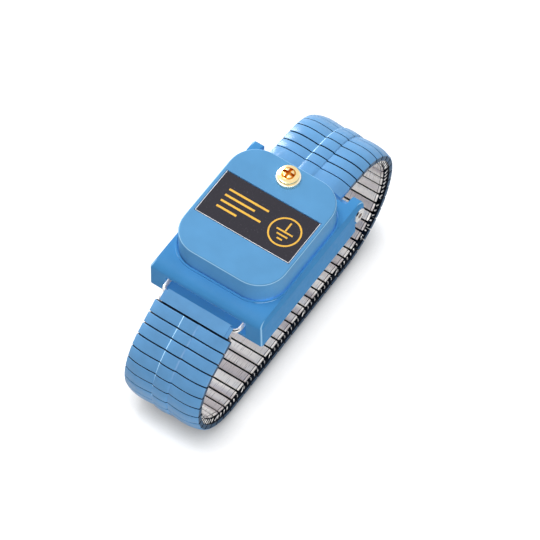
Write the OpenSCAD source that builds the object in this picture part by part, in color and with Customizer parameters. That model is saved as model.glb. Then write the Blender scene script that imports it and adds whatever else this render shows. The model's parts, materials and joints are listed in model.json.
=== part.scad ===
// Cordless ESD wrist strap: a plastic case on a metal expansion band.
// X runs across the band, Y along the case, Z up. The origin is the middle of the
// footprint, on the surface that the band's lower run lies on.

/* [Case] */
// Width of the cover across the band
cover_w = 31; // [29:0.5:33]
// Length of the cover along the band
cover_l = 36.1; // [34:0.1:38]
// Height of the cover above the base's rim
cover_h = 6.8; // [5.8:0.1:8]
// Radius of the cover's upright corners
cover_r = 8; // [6:0.5:9]
// Radius of the cover's top edge
cover_edge = 0.5; // [0.3:0.1:0.8]
// Thickness of the cover's side wall
cover_wall = 1.6; // [1.2:0.1:2]
// Thickness of the cover's roof
cover_roof = 1.8; // [1.5:0.1:2.4]
// Length of the base along the band
base_l = 46.2; // [45:0.2:50]
// Height of the base
base_h = 9; // [8.5:0.1:11]
// Width of the rim round the cover
rim_w = 0.5; // [0.3:0.1:1.2]
// How much the base widens on each side from its rim down
base_flare = 0.8; // [0.4:0.1:1.2]
// Thickness of the base's floor
base_floor = 1.5; // [1.2:0.1:1.8]
// Radius of the base's upright corners
base_r = 0.7; // [0.5:0.1:1.5]
// Height of the shoulders that round over at both ends of the base
shoulder_h = 1.6; // [1.2:0.1:2]
// Length of those shoulders along the band
shoulder_l = 4.5; // [3.5:0.5:5.5]
// Rise of the rim above the base
rim_h = 0.35; // [0.2:0.05:0.6]
// Width of the groove round the cover's foot
groove_w = 0.35; // [0.2:0.05:0.6]
// Depth of the groove, and of the cover's foot in it
groove_d = 1; // [0.6:0.1:1.5]
// Width of the recess between the two near lugs
recess_w = 24.4; // [24:0.1:25]
// Depth of each end recess
recess_d = 4.8; // [4.4:0.1:5.2]
// Thickness of the lip under the near recess
lip_t = 1; // [0.8:0.1:1.4]
// Width of the recess between the two far lugs
far_recess_w = 27.6; // [27:0.1:28]
// Radius of the far lugs' rounded ends
ear_r = 2.5; // [2.3:0.1:2.6]
// Height of the hinge axes above the base's underside
hinge_h = 5.1; // [4.8:0.1:5.4]
// Material left above the hinge axes, up to the recess ceiling
hinge_roof = 1.6; // [1.5:0.1:2]

/* [Label and back plate] */
// Width of the label plate
label_w = 28.4; // [24:0.2:29]
// Length of the label plate
label_l = 14.2; // [10:0.2:16]
// Thickness of the label plate
label_t = 0.4; // [0.3:0.1:0.6]
// Depth of the label's top below the cover
label_inset = 0.1; // [0:0.05:0.3]
// Width of the back plate that touches the skin
plate_w = 17; // [14:0.5:17]
// Length of the back plate
plate_l = 28; // [22:0.5:30]
// Thickness of the back plate
plate_t = 0.5; // [0.3:0.1:0.8]
// Corner radius of the back plate
plate_r = 3; // [1:0.5:5]

/* [Terminal] */
// Distance of the terminal screw from the middle of the cover
terminal_y = 13.7; // [12.8:0.1:14]
// Diameter of the terminal screw's thread
thread_d = 3; // [2.5:0.5:3.5]
// Diameter of the terminal screw's head
head_d = 5.6; // [5:0.1:6.4]
// Height of the terminal screw's head
head_h = 1.7; // [1.4:0.1:2]
// Diameter of the collar under the head
collar_d = 6.4; // [6:0.1:7.5]
// Height of the collar
collar_h = 1.1; // [0.8:0.1:1.3]
// Diameter of the threaded bushing
bushing_d = 4.4; // [4.2:0.1:5]
// Length of the threaded bushing
bushing_l = 5.3; // [4.5:0.1:5.6]
// Thickness of the terminal tab
tab_t = 0.3; // [0.2:0.1:0.5]
// Width of the terminal tab's leg
tab_leg_w = 2.4; // [2:0.1:3]
// Distance of the terminal tab's leg from the screw
tab_reach = 4; // [3.6:0.1:4.2]
// Width of the terminal tab's ring outside the bushing
tab_ring_w = 0.4; // [0.3:0.05:0.6]

/* [Case screws and board] */
// Diameter of the case screws' thread
screw_d = 2; // [1.6:0.1:2.2]
// Diameter of the case screws' heads
screw_head_d = 3.8; // [3.4:0.1:4]
// Height of the case screws' heads
screw_head_h = 0.9; // [0.7:0.1:1]
// How deep the case screws reach into the cover's posts
screw_depth = 4; // [3:0.5:4.5]
// Distance between the case screws across the band
screw_span_x = 22.8; // [22:0.2:23]
// Distance between the case screws along the band
screw_span_y = 22; // [19:0.5:22]
// Diameter of the bosses and posts round the case screws
boss_d = 4.6; // [4.4:0.1:4.8]
// Height of the board's underside above the base's underside
board_z = 5; // [4.6:0.1:5.4]
// Thickness of the circuit board
board_t = 1.2; // [0.8:0.1:1.6]
// Length of a resistor's body
resistor_l = 6; // [5:0.5:7]
// Diameter of a resistor's body
resistor_d = 2.3; // [1.8:0.1:2.5]
// Distance of each resistor from the board's middle
resistor_x = 4; // [3:0.5:6]
// Diameter of a resistor's leads
lead_d = 0.6; // [0.4:0.1:0.8]
// Length of a resistor's leads from its body to their bends
lead_run = 1.5; // [1.2:0.1:2]
// Width of the contact spring
spring_w = 3; // [2:0.5:4]
// Half the length of the contact spring
spring_run = 4; // [3.5:0.5:5]
// Thickness of the contact spring
spring_t = 0.25; // [0.2:0.05:0.4]

/* [Band] */
// Width of the outer links
band_w = 22.7; // [22.3:0.1:23]
// Thickness of the band without its ridge
band_t = 3.2; // [3.1:0.1:3.4]
// Rise of the outer links' panels above their ends
crown_h = 1.05; // [0.8:0.05:1.2]
// Distance of the panels' tops from the middle of the band
panel_x = 6.4; // [5.6:0.1:7.2]
// Fall of the panels from their tops to the foot of the ridge
panel_dip = 0.3; // [0.1:0.05:0.3]
// Height of the ridge along the middle of the outer links, from its foot
ridge_h = 0.4; // [0.35:0.05:0.6]
// Width of the ridge at its foot
ridge_w = 4.8; // [4:0.2:6]
// How much narrower the inner links are at each end
end_step = 1; // [0.9:0.1:1.1]
// Links in a segment of the band that moves as one
segment_links = 4; // [4:1:4]
// Further links in each of the two middle segments
middle_extra = 1; // [0:1:1]
// Gap between outer links on a straight run
link_gap = 0.32; // [0.28:0.02:0.36]
// Gap between the two rows of links
row_gap = 0.3; // [0.26:0.02:0.32]
// Thickness of the links' sheet metal
sheet_t = 0.22; // [0.18:0.01:0.24]
// Width and thickness of the staples' wire
staple_t = 0.36; // [0.32:0.01:0.38]
// Length of the staples' legs
staple_leg = 3.6; // [3:0.1:4.5]
// Thickness of the leaf springs
leaf_t = 0.12; // [0.08:0.01:0.14]

/* [Loop] */
// Free height between the base and the band's lower run
wrist_h = 26.1; // [25:0.1:27]
// Radius of the near bend, in the middle of the band's thickness
near_r = 14.3; // [14:0.1:14.6]
// Downward slope of the band as it leaves the near end of the case
near_slope = 34; // [33:1:38]
// Distance of the near run's start from the end of the case
near_out = 5; // [4.8:0.1:5.2]
// Drop of the near run's start below the hinge axis
near_drop = 2; // [1.8:0.1:2.2]
// Radius of the far upper bend, in the middle of the band's thickness
far_r = 13.8; // [13:0.1:14.4]
// How far the far bend reaches past the end of the case
far_reach = 22; // [21.5:0.1:22.6]
// Upward slope of the far run towards the case
far_slope = 7.5; // [6:0.5:8]
// Distance of the far run's start from the end of the case
far_out = 1.5; // [1.4:0.1:1.7]
// Rise of the far run's start above the hinge axis
far_rise = 1.3; // [1.1:0.1:1.4]

/* [Band ends] */
// Distance of the near hinge axis from the end of the base
near_axis_in = 1.4; // [1.2:0.1:1.6]
// Length of the bail's ends in the lugs
bail_end_l = 3; // [2:0.5:3.5]
// Distance of the bail's cross bar from the near end link's upper edge
bar_in = 1.15; // [1.1:0.05:1.4]
// Depth of the bail's cross bar under the near end link's face
bar_under = 1.2; // [1.15:0.05:1.3]
// Diameter of the bail's wire
wire_d = 1.1; // [1:0.05:1.15]
// Radius of the bail's bends at the lugs
wire_bend = 0.7; // [0.65:0.05:0.9]
// Radius of the bail's bends at the cross bar
bar_bend = 1.8; // [1.4:0.1:1.9]
// Width of the near end link
near_link_w = 18.9; // [18.5:0.1:19.2]
// Length of the near end link
near_link_l = 3.7; // [3.5:0.1:3.9]
// Downward slope of the near end link
near_link_slope = 27; // [25:1:30]
// Height of the near end link's face above the ends of the first outer link
near_link_rise = 0.4; // [0.3:0.05:0.5]
// Distance of the near end link from the start of the near run
near_link_back = 0.6; // [0.5:0.05:0.7]
// Depth of the tabs at both ends of the near end link, under its face
tab_drop = 0.3; // [0.2:0.05:0.35]
// Distance of the far hinge axis from the end of the base
far_axis_in = 2.5; // [2.4:0.1:2.8]
// Diameter of the far hinge pin
pin_d = 1.5; // [1.3:0.1:1.6]
// Diameter of the far hinge pin's head
pin_head_d = 4; // [3.4:0.1:4.4]
// Thickness of the far hinge pin's head
pin_head_t = 1; // [0.8:0.1:1.2]
// How far the far hinge pin's head stands out of the base
pin_proud = 0.25; // [0.1:0.05:0.4]
// Outer diameter of the far end link's knuckle
knuckle_d = 2.8; // [2.7:0.1:2.9]
// Length of the far end link's plate along the band
far_plate_l = 4.5; // [4.3:0.1:4.6]

/* [Fits] */
// Gap between a seated piece and its pocket, all round
seat_gap = 0.2; // [0.1:0.05:0.3]
// Radial clearance of a part that turns
turn_gap = 0.08; // [0.05:0.01:0.1]
// Radial clearance of a screw or pin that stays still
slip_gap = 0.04; // [0.02:0.01:0.06]
// Gap between the far end link's knuckle and each far lug
lug_gap = 0.3; // [0.2:0.05:0.4]

/* [Hidden] */
$fn = 48;
eps = 0.01;

// Rise of an outer link's face from its ends to the top of the ridge, and levels of the case
face_h = crown_h - panel_dip + ridge_h;
case_z = face_h + band_t + wrist_h;
rim_z = case_z + base_h;
cover_z = rim_z + cover_h;
hinge_z = case_z + hinge_h;

// Midline of the band in the YZ plane, with the middle of the case at Y = 0
mid_z = face_h + band_t / 2;
near_start = [-base_l / 2 - near_out, hinge_z - near_drop];
near_l = (near_start[1] - mid_z - near_r * (1 + cos(near_slope))) / sin(near_slope);
near_c = near_start[0] - near_l * cos(near_slope) + near_r * sin(near_slope);
far_end = [base_l / 2 + far_out, hinge_z + far_rise];
far_c = base_l / 2 + far_reach - band_t / 2 - far_r;
far_l = (far_c + far_r * sin(far_slope) - far_end[0]) / cos(far_slope);
low_r = far_end[1] - mid_z - far_r * cos(far_slope) - far_l * sin(far_slope);
low_c = far_c + far_r - low_r;
near_arc = near_r * (180 - near_slope) * PI / 180;
low_arc = low_r * PI / 2;
far_arc = far_r * (90 - far_slope) * PI / 180;
bottom_l = low_c - near_c;
s1 = near_l;
s2 = s1 + near_arc;
s3 = s2 + bottom_l;
s4 = s3 + low_arc;
s5 = s4 + far_arc;
band_l = s5 + far_l;

// The case is moved along Y so that the footprint's middle is the origin
loop_near = near_c - near_r - band_t / 2 - face_h;
loop_far = far_c + far_r + band_t / 2 + face_h;
case_y = -(loop_near + loop_far) / 2;

// Links and segments
half_segments = 6;
segments = 2 * half_segments;
function links_in(k) = segment_links + (k == half_segments - 1 || k == half_segments ? middle_extra : 0);
function first_link(k) = k == 0 ? 0 : first_link(k - 1) + links_in(k - 1);
link_count = first_link(segments);
pitch = band_l / link_count;
row_t = (band_t - row_gap) / 2;
outer_l = pitch - link_gap;
tight_r = min(near_r, far_r, low_r);
inner_root_l = pitch * (tight_r - band_t / 4) / tight_r - link_gap / 3;
inner_face_l = pitch * (tight_r - band_t / 2) / tight_r - link_gap / 2;
inner_w = band_w - 2 * end_step;
leg_v = row_gap / 2 + row_t / 2;

// Heights of an outer link above the middle of the band's thickness
link_base = row_gap / 2;
link_top = link_base + row_t;
// Width of the web between the two slots for the staples, and height of the slots
web_w = inner_w - 1.6;
slot_h = row_t * 0.42;

// Rise of an outer link's panels at x: they arch from the ends and dip to the foot of the ridge
foot_x = ridge_w / 2;
foot_h = crown_h - panel_dip;
function panel(x) =
    x > panel_x ? crown_h * (1 - pow((x - panel_x) / (band_w / 2 - panel_x), 2.3))
    : crown_h - panel_dip * pow((panel_x - x) / (panel_x - foot_x), 2);
// Right half of the panels' section from the end to the foot, and of the ridge from there to the middle
panel_steps = 3;
panel_half = concat([for (i = [0 : panel_steps]) band_w / 2 - (band_w / 2 - panel_x) * i / panel_steps],
                    [for (i = [1 : panel_steps]) panel_x - (panel_x - foot_x) * i / panel_steps]);
ridge_half = [[0.86, 0.65], [0.55, 0.92], [0.25, 1]];
// Outline that holds the given points and their mirror images, in the order in which they lie
function both_sides(points) = concat(points, [for (i = [len(points) - 1 : -1 : 0])
                                              if (points[i][0] > 0) [-points[i][0], points[i][1]]]);

// Places of the staples along the band, from the middle of the inner link they enter
own_u = inner_face_l / 2 - sheet_t - staple_t * 0.75;
back_u = -own_u + staple_t * 0.2;
slant_u = own_u - staple_t * 1.4;
far_leg_u = link_gap / 2 + sheet_t + staple_t * 1.2;
// Inner face of the staples' bridges, beyond the ends of the inner links
bridge_x = inner_w / 2 + 0.12;

// Heading of the midline at a distance s along the band, from the near end to the far end.
// It turns by less than a full turn, so that it starts past 180 and ends before 540 degrees.
near_heading = 180 + near_slope;
far_heading = 540 - far_slope;
function heading(s) =
    s < s1 ? near_heading
    : s < s2 ? near_heading + (s - s1) / near_r * 180 / PI
    : s < s3 ? 360
    : s < s4 ? 360 + (s - s3) / low_r * 180 / PI
    : s < s5 ? 450 + (s - s4) / far_r * 180 / PI
    : far_heading;
function along(a) = [cos(a), sin(a)];
function outward(a) = [sin(a), -cos(a)];
// Point of the midline at a distance s along the band
function mid_point(s) =
    s < s1 ? near_start + s * along(near_heading)
    : s < s2 ? [near_c, mid_z + near_r] + near_r * outward(heading(s))
    : s < s3 ? [near_c + s - s2, mid_z]
    : s < s4 ? [low_c, mid_z + low_r] + low_r * outward(heading(s))
    : s < s5 ? [far_c, mid_z + low_r] + far_r * outward(heading(s))
    : far_end - (band_l - s) * along(far_heading);
// Point at u along and v outward in the frame of a link centred at s
function link_point(s, u, v) = mid_point(s) + u * along(heading(s)) + v * outward(heading(s));
function outer_s(i) = (i + 0.5) * pitch;
function inner_s(i) = i * pitch;

// Hinge axes of the two ends
near_axis = [-base_l / 2 + near_axis_in, hinge_z];
far_axis = [base_l / 2 - far_axis_in, hinge_z];

// Pivots of the two lower corners, placed so that both legs are equally long
near_bend_s = pitch * (first_link(4) - 0.25);
far_bend_s = pitch * (first_link(7) - 0.25);
leg_y = (mid_point(near_bend_s)[0] + mid_point(far_bend_s)[0] - near_axis[0] - far_axis[0]) / 2;
near_bend = [near_axis[0] + leg_y, mid_z];
far_bend = [far_axis[0] + leg_y, mid_z];

// Lower edge and heading of the near end link, and the bail that reaches its cross bar
near_link_end = near_start + (band_t / 2 + near_link_rise) * outward(near_heading)
                - near_link_back * along(near_heading);
near_link_a = 180 + near_link_slope;
near_bar = near_link_end - (near_link_l - bar_in) * along(near_link_a) - bar_under * outward(near_link_a);
bail_angle = atan2(near_bar[1] - near_axis[1], near_bar[0] - near_axis[0]) - 180;
bail_reach = norm(near_bar - near_axis);

// Outline of the rim, and places of small parts in the case
top_w = cover_w + 2 * (groove_w + rim_w);
top_l = cover_l + 2 * (groove_w + rim_w);
side_x = top_w / 2 + base_flare * 0.9;
pin_seat_x = side_x + pin_proud - pin_head_t;
post_z = board_z + board_t - (base_h - groove_d);
tab_leg_y = terminal_y - tab_reach;
resistor_span = resistor_l + 2 * lead_run;

blue = [0.36, 0.60, 0.84];
steel = [0.80, 0.78, 0.76];
gold = [0.90, 0.70, 0.25];

// Frame of the case: origin under its middle, on its underside
module in_case() {
    translate([0, case_y, case_z]) children();
}

// Frame of a link: Y runs along the band and Z points out of the loop
module at_band(s) {
    p = mid_point(s);
    translate([0, case_y + p[0], p[1]]) rotate([heading(s), 0, 0]) rotate([0, 180, 0]) children();
}

// Solid across the band, from an outline in the YZ plane of the case's middle
module across(w) {
    translate([-w / 2, case_y, 0]) rotate([90, 0, 90]) linear_extrude(w) children();
}

// Rectangle with round corners
module rounded_rect(w, l, r) {
    square([w - 2 * r, l], center = true);
    square([w, l - 2 * r], center = true);
    for (x = [-1, 1], y = [-1, 1]) {
        translate([x * (w / 2 - r), y * (l / 2 - r)]) circle(r);
    }
}

module at_corners(w, l) {
    for (x = [-1, 1], y = [-1, 1]) translate([x * w / 2, y * l / 2]) children();
}

// One layer of the base's outside, for a hull
module base_layer(z, w, l) {
    translate([0, 0, z]) at_corners(w - 2 * base_r, l - 2 * base_r) cylinder(r = base_r, h = eps, $fn = 32);
}

// Outside of the base: flared sides, shoulders that round over at both ends, and the rim
module base_outside() {
    hull() {
        base_layer(0, top_w + 2 * base_flare, base_l);
        for (a = [0 : 15 : 90]) {
            base_layer(base_h - eps - shoulder_h * (1 - sin(a)), top_w + 1.6 * base_flare * (1 - sin(a)),
                       base_l - 2 * shoulder_l * (1 - cos(a)));
        }
    }
    translate([0, 0, base_h - rim_h]) linear_extrude(2 * rim_h)
        rounded_rect(top_w, top_l, cover_r + groove_w + rim_w);
}

// Recess between the near lugs, which leaves a roof over it and a lip below
module near_recess() {
    translate([-recess_w / 2, -base_l / 2 - 1, lip_t])
        cube([recess_w, recess_d + 1, hinge_h + hinge_roof - lip_t]);
}

// Recess between the far lugs, open at the top behind the rim, and the cut that rounds the lugs below
module far_recess() {
    back_y = top_l / 2 + 0.4;
    pocket_y = base_l / 2 - recess_d;
    translate([-far_recess_w / 2, pocket_y, -1])
        cube([far_recess_w, recess_d + 1, 1 + hinge_h + hinge_roof]);
    translate([-far_recess_w / 2, back_y, hinge_h]) cube([far_recess_w, base_l / 2, base_h]);
    translate([-cover_w, 0, 0]) rotate([90, 0, 90]) linear_extrude(2 * cover_w) difference() {
        translate([far_axis[0] - ear_r * 0.75, -1]) square([base_l / 2, hinge_h + 1]);
        translate([far_axis[0], hinge_h]) circle(ear_r);
    }
}

module case_base() {
    color(blue) in_case() difference() {
        union() {
            difference() {
                base_outside();
                // The cavity, open to the cover
                translate([0, 0, base_floor]) linear_extrude(base_h)
                    rounded_rect(cover_w - 2 * cover_wall, cover_l - 2 * cover_wall, cover_r - cover_wall);
                // The groove that takes the cover's foot
                translate([0, 0, base_h - groove_d]) linear_extrude(groove_d + 1)
                    rounded_rect(cover_w + 2 * groove_w, cover_l + 2 * groove_w, cover_r + groove_w);
            }
            at_corners(screw_span_x, screw_span_y) cylinder(d = boss_d, h = board_z);
        }
        near_recess();
        far_recess();
        // Blind holes for the bail's ends
        for (x = [-1, 1]) {
            translate([x * recess_w / 2, near_axis[0], hinge_h]) rotate([0, x * 90, 0])
                translate([0, 0, -0.5]) cylinder(d = wire_d + 2 * turn_gap, h = bail_end_l + 0.8);
        }
        // Hole and counterbore for the far hinge pin
        translate([-cover_w, far_axis[0], hinge_h]) rotate([0, 90, 0])
            cylinder(d = pin_d + 2 * slip_gap, h = 2 * cover_w);
        translate([pin_seat_x, far_axis[0], hinge_h]) rotate([0, 90, 0])
            cylinder(d = pin_head_d + 2 * seat_gap, h = 5);
        at_corners(screw_span_x, screw_span_y) {
            // Hole and counterbore for a case screw, and room for the cover's post
            translate([0, 0, -1]) cylinder(d = screw_d + 2 * slip_gap, h = base_h + 2);
            translate([0, 0, -1]) cylinder(d = screw_head_d + 2 * seat_gap, h = 1 + screw_head_h);
            translate([0, 0, board_z]) cylinder(d = boss_d, h = base_h);
        }
        // Seat of the back plate and the window of the contact spring
        translate([0, 0, -eps]) linear_extrude(plate_t + eps)
            rounded_rect(plate_w + 2 * seat_gap, plate_l + 2 * seat_gap, plate_r + seat_gap);
        translate([0, 0, base_floor / 2])
            cube([spring_w + 1, 2 * spring_run + 2, base_floor + 2], center = true);
    }
}

// One corner of the cover's outside, for a hull
module cover_corner() {
    rotate_extrude($fn = 40) {
        square([cover_r - cover_edge, cover_h + groove_d]);
        square([cover_r, cover_h + groove_d - cover_edge]);
        translate([cover_r - cover_edge, cover_h + groove_d - cover_edge]) intersection() {
            circle(cover_edge, $fn = 24);
            square(cover_edge);
        }
    }
}

module case_cover() {
    height = cover_h + groove_d;
    color(blue) in_case() translate([0, 0, base_h - groove_d]) difference() {
        union() {
            difference() {
                hull() at_corners(cover_w - 2 * cover_r, cover_l - 2 * cover_r) cover_corner();
                translate([0, 0, -1]) linear_extrude(height - cover_roof + 1)
                    rounded_rect(cover_w - 2 * cover_wall, cover_l - 2 * cover_wall, cover_r - cover_wall);
            }
            // Posts that hold the board down and take the case screws
            translate([0, 0, post_z]) at_corners(screw_span_x, screw_span_y)
                cylinder(d = boss_d - 0.2, h = height - post_z - 0.5);
            // Boss round the bushing
            translate([0, terminal_y, height - bushing_l])
                cylinder(d = bushing_d + 2.2, h = bushing_l - 0.5);
        }
        translate([0, 0, post_z - 1]) at_corners(screw_span_x, screw_span_y)
            cylinder(d = screw_d + 2 * slip_gap, h = screw_depth + 1.3);
        translate([0, terminal_y, height - bushing_l - 1]) cylinder(d = bushing_d, h = bushing_l + 2);
        // Pocket of the label
        translate([-label_w / 2 - seat_gap, -label_l / 2 - seat_gap, height - label_t - label_inset])
            cube([label_w + 2 * seat_gap, label_l + 2 * seat_gap, 2]);
    }
}

module label_plate() {
    color([0.17, 0.17, 0.20]) in_case()
        translate([-label_w / 2, -label_l / 2, base_h + cover_h - label_inset - label_t])
            cube([label_w, label_l, label_t]);
}

module back_plate() {
    color(steel) in_case() linear_extrude(plate_t) rounded_rect(plate_w, plate_l, plate_r);
}

// Pan head screws from below, through the base and the board into the cover's posts
module case_screws() {
    color(steel) in_case() at_corners(screw_span_x, screw_span_y) difference() {
        union() {
            translate([0, 0, 0.1]) cylinder(d = screw_head_d, h = screw_head_h - 0.1);
            cylinder(d = screw_d, h = board_z + board_t + screw_depth);
        }
        translate([0, 0, -0.5]) for (a = [0, 90]) rotate(a) cube([2.2, 0.5, 1.8], center = true);
    }
}

// Cross recess cut into a screw's head
module cross_recess(size, depth) {
    for (a = [0, 90]) rotate(a) translate([-size / 2, -size / 8, -depth]) cube([size, size / 4, depth + 1]);
}

module terminal_screw() {
    head_z = base_h + cover_h + collar_h;
    color(gold) in_case() translate([0, terminal_y, head_z]) difference() {
        union() {
            rotate_extrude() {
                square([head_d / 2, head_h * 0.55]);
                translate([0, head_h * 0.55]) intersection() {
                    square([head_d / 2, head_h * 0.45]);
                    translate([0, -head_d * 0.9 + head_h * 0.45]) circle(head_d * 0.9);
                }
            }
            translate([0, 0, -collar_h - bushing_l + 0.4]) cylinder(d = thread_d, h = collar_h + bushing_l);
        }
        translate([0, 0, head_h]) cross_recess(head_d * 0.6, head_h * 0.65);
    }
}

module terminal_collar() {
    color(gold) in_case() translate([0, terminal_y, base_h + cover_h]) rotate_extrude() {
        difference() {
            square([collar_d / 2, collar_h]);
            translate([-1, -1]) square([1 + thread_d / 2 + turn_gap, collar_h + 2]);
        }
    }
}

module threaded_bushing() {
    color(gold) in_case() translate([0, terminal_y, base_h + cover_h - bushing_l]) difference() {
        cylinder(d = bushing_d, h = bushing_l);
        translate([0, 0, -1]) cylinder(d = thread_d + 2 * turn_gap, h = bushing_l + 2);
    }
}

// Ring under the bushing, with a leg that stands on the board
module terminal_tab() {
    board_top = board_z + board_t;
    tab_z = base_h + cover_h - bushing_l - tab_t;
    ring_d = bushing_d + 2 * tab_ring_w;
    color(steel) in_case() difference() {
        union() {
            translate([0, terminal_y, tab_z]) cylinder(d = ring_d, h = tab_t);
            translate([-tab_leg_w / 2, tab_leg_y, tab_z])
                cube([tab_leg_w, terminal_y - tab_leg_y - thread_d / 2, tab_t]);
            translate([-tab_leg_w / 2, tab_leg_y, board_top])
                cube([tab_leg_w, tab_t, tab_z + tab_t - board_top]);
        }
        translate([0, terminal_y, tab_z - 1]) cylinder(d = thread_d + 4 * turn_gap, h = tab_t + 2);
    }
}

module circuit_board() {
    w = cover_w - 2 * cover_wall - 2 * seat_gap;
    l = cover_l - 2 * cover_wall - 2 * seat_gap;
    color([0.15, 0.40, 0.22]) in_case() translate([0, 0, board_z]) difference() {
        linear_extrude(board_t) rounded_rect(w, l, cover_r - cover_wall - seat_gap);
        translate([0, 0, -1]) {
            at_corners(screw_span_x, screw_span_y) cylinder(d = screw_d + 0.5, h = board_t + 2);
            for (x = [-1, 1], y = [-1, 1]) {
                translate([x * resistor_x, y * resistor_span / 2, 0])
                    cylinder(d = lead_d + 0.3, h = board_t + 2);
            }
        }
    }
}

// Two axial resistors side by side, with their leads bent down into the board
module series_resistors() {
    axis_z = board_z + board_t + resistor_d / 2 + 0.2;
    color([0.80, 0.72, 0.55]) in_case() for (x = [-1, 1]) translate([x * resistor_x, 0, 0]) {
        translate([0, 0, axis_z]) rotate([90, 0, 0]) cylinder(d = resistor_d, h = resistor_l, center = true);
        for (y = [-1, 1]) {
            translate([0, y * (resistor_l / 2 - 0.2), axis_z]) rotate([-y * 90, 0, 0])
                cylinder(d = lead_d, h = lead_run + 0.2);
            translate([0, y * resistor_span / 2, board_z + 0.1])
                cylinder(d = lead_d, h = axis_z + lead_d / 2 - board_z - 0.1);
        }
    }
}

// Bent leaf between the board and the back plate: two feet, two slopes and a flat middle
module contact_spring() {
    middle = spring_run / 4;
    foot = spring_run * 0.45;
    // Half of the leaf's lower face, and of its upper face from the middle outwards
    under = [[-spring_run, board_z - spring_t], [foot - spring_run, board_z - spring_t], [-middle, plate_t]];
    over = [[-middle, plate_t + spring_t], [foot - spring_run, board_z], [-spring_run, board_z]];
    color(gold) in_case() translate([-spring_w / 2, 0, 0]) rotate([90, 0, 90]) linear_extrude(spring_w) {
        for (m = [0, 1]) mirror([m, 0]) polygon(concat(under, over));
        translate([-middle, plate_t]) square([2 * middle, spring_t]);
    }
}

// Wire that turns in the near lugs and carries the near end link on its cross bar
module near_wire_bail() {
    r = wire_d / 2;
    arm_x = recess_w / 2 - wire_bend - 0.15;
    arm_l = bail_reach - wire_bend - bar_bend;
    color(steel) translate([0, case_y + near_axis[0], near_axis[1]]) rotate([bail_angle, 0, 0]) {
        for (x = [-1, 1]) {
            // End in the lug's hole
            translate([x * (arm_x + wire_bend), 0, 0]) rotate([0, x * 90, 0])
                cylinder(r = r, h = bail_end_l);
            // Bend at the lug, arm and bend at the cross bar
            translate([x * (arm_x + wire_bend), -wire_bend, 0]) rotate([0, 0, x > 0 ? 90 : 0])
                rotate_extrude(angle = 90) translate([wire_bend, 0]) circle(r);
            translate([x * arm_x, -wire_bend, 0]) rotate([90, 0, 0]) cylinder(r = r, h = arm_l);
            translate([x * (arm_x - bar_bend), -wire_bend - arm_l, 0]) rotate([0, 0, x > 0 ? -90 : 180])
                rotate_extrude(angle = 90) translate([bar_bend, 0]) circle(r);
        }
        translate([-arm_x + bar_bend, -bail_reach, 0]) rotate([0, 90, 0])
            cylinder(r = r, h = 2 * (arm_x - bar_bend));
    }
}

// Frame of the near end link: origin at its lower edge, on its outer face
module at_near_link() {
    translate([0, case_y + near_link_end[0], near_link_end[1]]) rotate([near_link_a, 0, 0])
        rotate([0, 180, 0]) children();
}

// Shell that is open below, with a tab at each end that covers the bail's bend
module near_end_link() {
    l = near_link_l;
    low_y = -link_gap / 2;
    color(blue) at_near_link() difference() {
        union() {
            translate([-near_link_w / 2, -l, -row_t]) cube([near_link_w, l + low_y, row_t]);
            translate([-inner_w / 2, -l * 0.85, -row_t]) cube([inner_w, l * 0.85 + low_y, row_t - tab_drop]);
        }
        translate([-near_link_w / 2 + sheet_t, -l + sheet_t, -row_t - 1])
            cube([near_link_w - 2 * sheet_t, l + low_y - 2 * sheet_t, row_t + 1 - sheet_t]);
        // Windows below the tabs for the bail's bends and the staples' legs
        for (x = [-1, 1]) {
            translate([x * near_link_w / 2 - 2, -l + 1.4 * sheet_t, -row_t - 1])
                cube([4, l + low_y - 2.4 * sheet_t, row_t + 1 - tab_drop - sheet_t]);
        }
    }
}

// Section across an outer link: two arched panels and the ridge between them
module link_section() {
    polygon(both_sides(concat([[band_w / 2, link_base]], [for (x = panel_half) [x, link_top + panel(x)]],
                              [for (p = ridge_half) [p[0] * foot_x, link_top + foot_h + p[1] * ridge_h]])));
}

// Slots near both ends of an outer link, through which the staples enter it
module staple_slots(inside_w, l) {
    for (x = [-1, 1]) {
        translate([x > 0 ? web_w / 2 : -inside_w / 2, -l / 2, link_base - 1])
            cube([(inside_w - web_w) / 2, l, 1 + slot_h]);
    }
}

// Outer link: an arched, closed box with a raised ridge
module outer_link() {
    taper = 0.2;
    inside_w = band_w - 2 * sheet_t;
    ceiling = [for (x = panel_half) [x * inside_w / band_w, link_top - sheet_t + panel(x)]];
    link_peak = link_top + face_h;
    difference() {
        intersection() {
            // Section along the band, a little narrower at the face
            translate([-band_w / 2, 0, 0]) rotate([90, 0, 90]) linear_extrude(band_w)
                polygon([[-outer_l / 2, link_base], [outer_l / 2, link_base], [outer_l / 2, link_top - taper],
                         [outer_l / 2 - taper, link_peak], [-outer_l / 2 + taper, link_peak],
                         [-outer_l / 2, link_top - taper]]);
            translate([0, outer_l / 2, 0]) rotate([90, 0, 0]) linear_extrude(outer_l) link_section();
        }
        translate([0, outer_l / 2 - sheet_t, 0]) rotate([90, 0, 0]) linear_extrude(outer_l - 2 * sheet_t)
            polygon(both_sides(concat([[inside_w / 2, link_base + sheet_t]], ceiling)));
        staple_slots(inside_w, outer_l + 2);
    }
}

// Inner link: a flat tube, a little narrower towards the skin
module inner_link() {
    h = row_gap / 2;
    wall = sheet_t;
    translate([-inner_w / 2, 0, 0]) rotate([90, 0, 90]) linear_extrude(inner_w) difference() {
        polygon([[-inner_root_l / 2, -h], [inner_root_l / 2, -h],
                 [inner_face_l / 2, -h - row_t], [-inner_face_l / 2, -h - row_t]]);
        polygon([[-inner_face_l / 2 + wall, -h - wall], [inner_face_l / 2 - wall, -h - wall],
                 [inner_face_l / 2 - wall, -h - row_t + wall], [-inner_face_l / 2 + wall, -h - row_t + wall]]);
    }
}

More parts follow.
